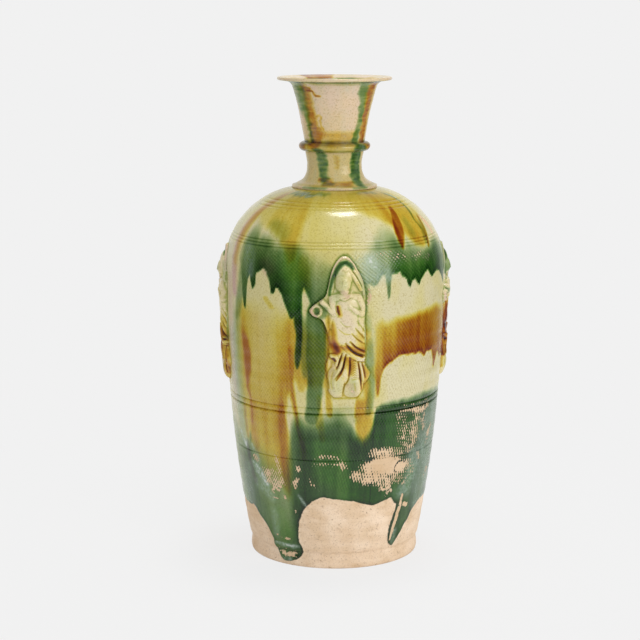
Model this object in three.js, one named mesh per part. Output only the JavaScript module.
// A tall glazed earthenware bottle vase, thrown in sections that are luted together with slip,
// with four press-moulded figures applied round the belly. Millimetres, +Z up, standing on Z = 0.
import * as THREE from "three";
import { mergeVertices } from "three/addons/utils/BufferGeometryUtils.js";

// Driving dimensions
const HEIGHT = 380;
const FOOT_RADIUS = 67.4;
const FOOT_BAND_TOP = 11;
const BODY_SEAM_Z = 127.7; // where the two thrown halves of the body meet
const SLIP = 0.3; // thickness of the slip that lutes one piece to another
const SEAM_RISE = 3; // the luting bevel climbs this much from the outside to the inside
const BODY_WALL = 7;
const BASE = { thickness: 9, cornerTop: 15, recessRadius: 44, recessDepth: 1.4, recessSlope: 4 };
const SHOULDER_OPENING = { radius: 18.5, edge: 6, bevel: 4 };
const FLANGE = { radius: 33.7, z: 293.6, thickness: 1.9 };
const NECK_WALL = 5;
const NECK_SEAM = { radius: 23.5, z: 326 }; // the neck and the mouth meet under the ring
const RING = { boreRadius: 23.9, boreFlare: 0.35, crestRadius: 28.2, halfHeight: 3.6, shoulder: 0.7 };
const RIM_RADIUS = 45.1;
const THROAT_TOP = HEIGHT - 8; // above this the cup's inside turns out into the lip
const FIGURE = { count: 4, footZ: 141.5, peak: 5.6, edge: 1.3, fullness: 3.5 };
const FACET_SLACK = 0.15; // keeps the flat facets of a figure's back off the round wall

// Smoothness
const ROUND_SEGMENTS = 40;
const FIGURE_COLUMNS = 8;
const FIGURE_ROWS = 22;

// Outside of the thrown wall, as radius and height, from the foot up to the mouth
const LOWER_WALL = [
  [66.9, 0], [FOOT_RADIUS, 2.5], [67.2, 7], [66.9, FOOT_BAND_TOP], [68.1, 13.5], [69.6, 20],
  [71.9, 33], [74.8, 52], [77.4, 70], [79.6, 88], [81.6, 107], [83.3, BODY_SEAM_Z],
];
const UPPER_WALL = [
  [83.3, BODY_SEAM_Z], [85.3, 155], [86.5, 180], [87.2, 205], [87.4, 222], [86.9, 236], [85.2, 246],
  [82.6, 254.5], [78.6, 262.5], [72.6, 271], [64.6, 279], [55.2, 285.6], [44, 290.6], [FLANGE.radius, 293.4],
];
const NECK_WALL_OUT = [
  [FLANGE.radius, FLANGE.z + FLANGE.thickness], [29.6, 297.2], [25.2, 300], [22.5, 304.5], [21.6, 310],
  [21.8, 315], [22.8, 320], [NECK_SEAM.radius, NECK_SEAM.z],
];
const MOUTH_WALL_OUT = [
  [NECK_SEAM.radius, NECK_SEAM.z], [24.1, 332], [26.2, 344], [28.7, 356], [31.2, 366], [33.4, 373.6],
];

// Rounding between the wall's inside and the floor, as distance in from the wall and height over the floor
const FLOOR_CORNER = [[4, 1.5], [12, 0]];
// Bore of the neck as radius and height, from the seam under the ring down to the shoulder
const NECK_BORE = [
  [NECK_SEAM.radius - NECK_WALL, NECK_SEAM.z], [16.8, 314], [16.6, 306], [17.5, FLANGE.z + SLIP],
];
// Section of the lip as distance in from its edge and down from its top, from outside the cup to inside it
const LIP = [[9.9, 4.4], [6.1, 3.3], [0.7, 2.4], [0, 1.5], [0.3, 0.4], [1.2, 0], [9.1, 1.1], [13.9, 2.6]];

// Outline of a moulded figure: height above its feet, reach to its right hand, reach to its left hand
const FIGURE_OUTLINE = [
  [0, -8, 9.5], [2, -10.4, 11], [6, -12.4, 13.4], [11, -12.4, 15.4], [15, -13.2, 18.2], [18.5, -13.9, 19.3],
  [22, -14.3, 17.6], [26.5, -14.2, 15], [32, -12.6, 15.4], [41, -12.4, 16], [50, -13.2, 15.6],
  [57, -15.6, 15], [61, -18.4, 15], [63, -24, 15], [65.4, -26.6, 15.2], [67.6, -27.3, 15.6],
  [70, -25.6, 15.4], [72.4, -22.8, 15.2], [75, -19.2, 15.2], [77.4, -16, 15.3], [80, -14.3, 15.3],
  [83, -13.6, 15], [86, -12.9, 14.4], [90, -12.1, 13.3], [94, -11.2, 11.6], [99, -9.6, 8.8],
  [102.4, -7.9, 7], [105.2, -6, 4.8], [107.4, -3.8, 2.8], [108.5, -1.8, 1.2],
];
// How full a figure's relief is along its middle, from its feet to the tip of its mandorla
const FIGURE_RELIEF = [
  [0, 0.55], [10, 0.8], [24, 1], [33, 0.82], [45, 0.95], [60, 1], [72, 0.9], [77, 0.7], [86, 1.05],
  [94, 0.9], [101, 0.5], [108.5, 0.3],
];

const GLAZED = { color: 0xb9a65a, roughness: 0.22, metalness: 0 };
const BUFF = { color: 0xdcc0a0, roughness: 0.8, metalness: 0 };

// A smooth run of points through the given [radius, height] pairs
function smooth(pairs, steps) {
  const curve = new THREE.SplineCurve(pairs.map(([x, y]) => new THREE.Vector2(x, y)));
  return curve.getPoints(steps);
}

// The same run moved inwards by a wall's thickness, square to the run
function inset(points, thickness) {
  return points.map((p, i) => {
    const before = points[Math.max(i - 1, 0)];
    const after = points[Math.min(i + 1, points.length - 1)];
    const along = after.clone().sub(before).normalize();
    return new THREE.Vector2(p.x - along.y * thickness, p.y + along.x * thickness);
  });
}

// Straight-line reading of a table of [at, value, ...] rows
function read(table, at, column) {
  const last = table.length - 1;
  if (at <= table[0][0]) return table[0][column];
  if (at >= table[last][0]) return table[last][column];
  const i = table.findIndex((row) => row[0] >= at);
  const share = (at - table[i - 1][0]) / (table[i][0] - table[i - 1][0]);
  return THREE.MathUtils.lerp(table[i - 1][column], table[i][column], share);
}

// A closed solid turned round the vase's axis from a closed [radius, height] outline
function turned(name, outline, finish) {
  const closed = outline.concat(outline[0].clone());
  const geometry = new THREE.LatheGeometry(closed, ROUND_SEGMENTS);
  geometry.rotateX(Math.PI / 2);
  return piece(name, geometry, finish);
}

// One named mesh, with only positions and shared corners kept
function piece(name, geometry, finish) {
  geometry.deleteAttribute("normal");
  geometry.deleteAttribute("uv");
  const merged = mergeVertices(geometry, 1e-3);
  merged.computeVertexNormals();
  const mesh = new THREE.Mesh(merged, new THREE.MeshStandardMaterial(finish));
  mesh.name = name;
  return mesh;
}

const at = (radius, z) => new THREE.Vector2(radius, z);

// A run whose lower end sits on the slip instead of on the piece below
const onSlip = (points) => [at(points[0].x, points[0].y + SLIP), ...points.slice(1)];

// Foot, flat base and lower wall, thrown as one open tub
function lowerBody() {
  const outside = smooth(LOWER_WALL, 13);
  const inside = inset(outside, BODY_WALL).filter((p) => p.y > BASE.cornerTop);
  const cornerRadius = inside[0].x;
  inside[inside.length - 1].y = BODY_SEAM_Z + SEAM_RISE;
  return turned("lower_body", [
    at(0, BASE.recessDepth),
    at(BASE.recessRadius - BASE.recessSlope, BASE.recessDepth),
    at(BASE.recessRadius, 0),
    ...outside,
    ...inside.reverse(),
    ...FLOOR_CORNER.map(([inward, rise]) => at(cornerRadius - inward, BASE.thickness + rise)),
    at(0, BASE.thickness),
  ], BUFF);
}

// Upper wall and shoulder, thrown as a dome with an opening for the neck
function upperBody() {
  const outside = onSlip(smooth(UPPER_WALL, 17));
  const inside = inset(outside, BODY_WALL);
  inside[0].y = BODY_SEAM_Z + SEAM_RISE + SLIP;
  const seatZ = outside[outside.length - 1].y;
  const under = inside.filter((p) => p.x > SHOULDER_OPENING.radius + SHOULDER_OPENING.bevel);
  return turned("upper_body", [
    ...outside,
    at(SHOULDER_OPENING.radius, seatZ),
    at(SHOULDER_OPENING.radius, seatZ - SHOULDER_OPENING.edge),
    ...under.reverse(),
  ], GLAZED);
}

// Neck tube with the flange that sits on the shoulder
function neck() {
  return turned("neck", [
    at(FLANGE.radius, FLANGE.z + SLIP),
    ...smooth(NECK_WALL_OUT, 9),
    ...NECK_BORE.map(([radius, z]) => at(radius, z)),
  ], GLAZED);
}

// Coil of clay that covers the seam between the neck and the mouth
function neckRing() {
  const corners = 10;
  const coreRadius = RING.boreRadius + RING.shoulder;
  const outline = [at(RING.boreRadius, NECK_SEAM.z - RING.halfHeight)];
  for (let i = 0; i <= corners; i++) {
    const turn = (-0.5 + i / corners) * Math.PI;
    const reach = (RING.crestRadius - coreRadius) * Math.cos(turn);
    outline.push(at(coreRadius + reach, NECK_SEAM.z + RING.halfHeight * Math.sin(turn)));
  }
  outline.push(at(RING.boreRadius + RING.boreFlare, NECK_SEAM.z + RING.halfHeight));
  return turned("neck_ring", outline, GLAZED);
}

// Flared mouth with its wide flat lip
function mouth() {
  const outside = onSlip(smooth(MOUTH_WALL_OUT, 6));
  const inside = inset(outside, NECK_WALL).filter((p) => p.y < THROAT_TOP);
  inside[0].y = NECK_SEAM.z + SLIP;
  const lip = LIP.map(([inward, down]) => at(RIM_RADIUS - inward, HEIGHT - down));
  return turned("mouth", [...outside, ...lip, ...inside.reverse()], GLAZED);
}

// Radius of the outside wall at a height on the upper body
const upperRun = smooth(UPPER_WALL, 120).map((p) => [p.y, p.x]);
const wallRadius = (z) => read(upperRun, z, 1);

// A press-moulded figure: a slab bent round the wall, thick in the middle and thin at its edge
function figure(name, turn) {
  const slab = new THREE.BoxGeometry(2, 1, 1, FIGURE_COLUMNS, FIGURE_ROWS, 1);
  const tall = FIGURE_OUTLINE[FIGURE_OUTLINE.length - 1][0];
  const place = slab.getAttribute("position");
  for (let i = 0; i < place.count; i++) {
    const across = place.getX(i);
    const up = (place.getY(i) + 0.5) * tall;
    const left = read(FIGURE_OUTLINE, up, 1);
    const right = read(FIGURE_OUTLINE, up, 2);
    const z = FIGURE.footZ + up;
    const wall = wallRadius(z) + SLIP + FACET_SLACK;
    const rounding = Math.sqrt(Math.max(0, 1 - Math.abs(across) ** FIGURE.fullness));
    const swell = rounding * read(FIGURE_RELIEF, up, 1);
    const front = FIGURE.edge + (FIGURE.peak - FIGURE.edge) * swell;
    const radius = wall + (place.getZ(i) > 0 ? front : 0);
    const angle = (left + ((across + 1) / 2) * (right - left)) / wall;
    place.setXYZ(i, radius * Math.sin(angle), -radius * Math.cos(angle), z);
  }
  const mesh = piece(name, slab, GLAZED);
  mesh.rotation.z = turn;
  return mesh;
}

const vase = new THREE.Group();
vase.add(lowerBody(), upperBody(), neck(), neckRing(), mouth());
["figure_front", "figure_right", "figure_back", "figure_left"].forEach((name, i) => {
  vase.add(figure(name, (i * 2 * Math.PI) / FIGURE.count));
});

export default vase;
